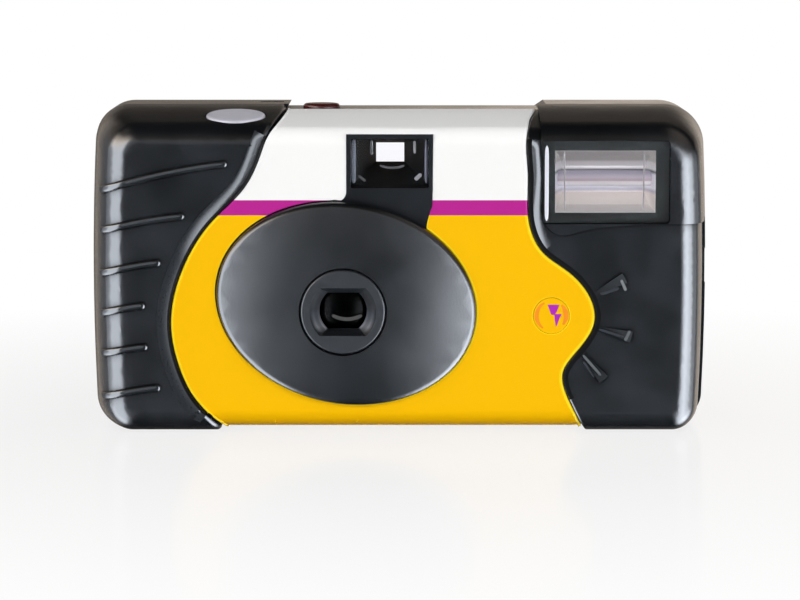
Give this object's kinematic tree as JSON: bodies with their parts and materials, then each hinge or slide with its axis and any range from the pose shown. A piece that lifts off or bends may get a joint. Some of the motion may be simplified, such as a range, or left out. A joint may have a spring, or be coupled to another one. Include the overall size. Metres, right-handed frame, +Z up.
{
  "type": "disposable film camera",
  "caption": "Single-use 35 mm film camera with built-in flash, oval lens housing, thumbwheel, frame counter and a plain colour-banded wrap label.",
  "frame": {"origin": "under the middle of the body, on the plane that the flat bottom stands on", "axes": "X to the viewer's right along the width, Y from the lens to the back, Z up; the lens looks along -Y"},
  "size_m": [0.12, 0.036, 0.0623],
  "materials": {
    "grip_plastic": "fine satin black, moulded",
    "label_print": "glossy printed paper film, white",
    "lens_black": "semi-gloss black, moulded",
    "clear_plastic": "clear polished plastic",
    "bright_metal": "bright formed sheet",
    "flash_glass": "clear glass tube",
    "button_grey": "satin silver-grey plastic",
    "ready_red": "translucent dark red plastic",
    "lamp_glass": "small glass lamp",
    "spring_steel": "spring steel",
    "cartridge_metal": "lacquered sheet steel",
    "film_base": "grey-brown film",
    "inner_black": "dull black inner moulding",
    "dial_white": "white moulded dial",
    "board_green": "coated circuit board",
    "capacitor_sleeve": "shrink sleeve",
    "copper_winding": "enamelled copper wire",
    "contact_brass": "plated contact",
    "battery_can": "plain dark sleeve"
  },
  "bodies": {
    "camera": {"front_cover": "grip_plastic", "rear_cover": "grip_plastic", "wrap_label": "label_print", "lens_ring": "lens_black", "taking_lens": "clear_plastic", "aperture_plate": "inner_black", "blade_spring": "spring_steel", "striker_spring": "spring_steel", "main_frame": "inner_black", "film_cartridge": "cartridge_metal", "film_strip": "film_base", "counter_window": "clear_plastic", "viewfinder_housing": "inner_black", "viewfinder_front_lens": "clear_plastic", "viewfinder_rear_lens": "clear_plastic", "flash_lens": "clear_plastic", "flash_reflector": "bright_metal", "flash_tube": "flash_glass", "circuit_board": "board_green", "main_capacitor": "capacitor_sleeve", "transformer": "copper_winding", "trigger_coil": "copper_winding", "charge_switch": "contact_brass", "sync_contact": "contact_brass", "ready_light": "ready_red", "ready_lamp": "lamp_glass", "battery": "battery_can", "battery_contact_positive": "contact_brass", "battery_contact_negative": "contact_brass"},
    "shutter_button": {"shutter_button": "button_grey"},
    "flash_button": {"flash_button": "label_print"},
    "thumbwheel": {"thumbwheel": "grip_plastic"},
    "cartridge_spool": {"cartridge_spool": "inner_black"},
    "sprocket": {"sprocket": "dial_white"},
    "supply": {"supply_spool": "inner_black", "film_roll": "film_base"},
    "counter_dial": {"counter_dial": "dial_white"},
    "shutter_blade": {"shutter_blade": "spring_steel"},
    "striker": {"striker_lever": "spring_steel"},
    "metering_lever": {"metering_lever": "dial_white"},
    "wheel_pawl": {"wheel_pawl": "inner_black"},
    "film_door": {"film_door": "grip_plastic"}
  },
  "joints": [
    {"name": "shutter_button_travel", "type": "slide", "parent": "camera", "child": "shutter_button", "axis": [0, 0, -1], "range_m": [0, 0.001], "stiffness_N_per_m": 400, "springref_m": -0.0005},
    {"name": "flash_button_travel", "type": "slide", "parent": "camera", "child": "flash_button", "axis": [0, 1, 0], "range_m": [0, 0.0006], "stiffness_N_per_m": 400, "springref_m": -0.0005},
    {"name": "thumbwheel_spin", "type": "hinge", "parent": "camera", "child": "thumbwheel", "pos_m": [-0.0415, 0.003, 0.0507], "axis": [0, 0, 1], "continuous": true},
    {"name": "spool_spin", "type": "hinge", "parent": "camera", "child": "cartridge_spool", "pos_m": [-0.0415, 0.003, 0.0254], "axis": [0, 0, 1], "continuous": true},
    {"name": "sprocket_spin", "type": "hinge", "parent": "camera", "child": "sprocket", "pos_m": [-0.0192, 0.0071, 0.041], "axis": [0, 0, 1], "continuous": true},
    {"name": "supply_spin", "type": "hinge", "parent": "camera", "child": "supply", "pos_m": [0.031, 0.0051, 0.0254], "axis": [0, 0, 1], "continuous": true},
    {"name": "counter_spin", "type": "hinge", "parent": "camera", "child": "counter_dial", "pos_m": [-0.0252, 0.005, 0.058], "axis": [0, 0, 1], "continuous": true},
    {"name": "shutter_blade_swing", "type": "hinge", "parent": "camera", "child": "shutter_blade", "pos_m": [-0.0044, -0.0122, 0.0349], "axis": [0, -1, 0], "range_deg": [0, 35], "stiffness_Nm_per_rad": 0.00001, "springref_deg": -11.46},
    {"name": "striker_swing", "type": "hinge", "parent": "camera", "child": "striker", "pos_m": [-0.0228, -0.0122, 0.033], "axis": [0, -1, 0], "range_deg": [0, 20], "stiffness_Nm_per_rad": 0.00001, "springref_deg": -11.46},
    {"name": "metering_swing", "type": "hinge", "parent": "camera", "child": "metering_lever", "pos_m": [-0.0176, -0.003, 0.051], "axis": [0, 0, 1], "range_deg": [0, 6]},
    {"name": "pawl_swing", "type": "hinge", "parent": "camera", "child": "wheel_pawl", "pos_m": [-0.0246, 0.011, 0.051], "axis": [0, 0, 1], "range_deg": [0, 8]},
    {"name": "film_door_hinge", "type": "hinge", "parent": "camera", "child": "film_door", "pos_m": [-0.041, 0.013, 0.001], "axis": [1, 0, 0], "range_deg": [0, 90]}
  ],
  "couplings": [
    {"joint": "thumbwheel_spin", "follows": "supply_spin", "ratio": 1},
    {"joint": "spool_spin", "follows": "supply_spin", "ratio": 1},
    {"joint": "sprocket_spin", "follows": "supply_spin", "ratio": 1.49},
    {"joint": "counter_spin", "follows": "supply_spin", "ratio": -0.0532}
  ]
}
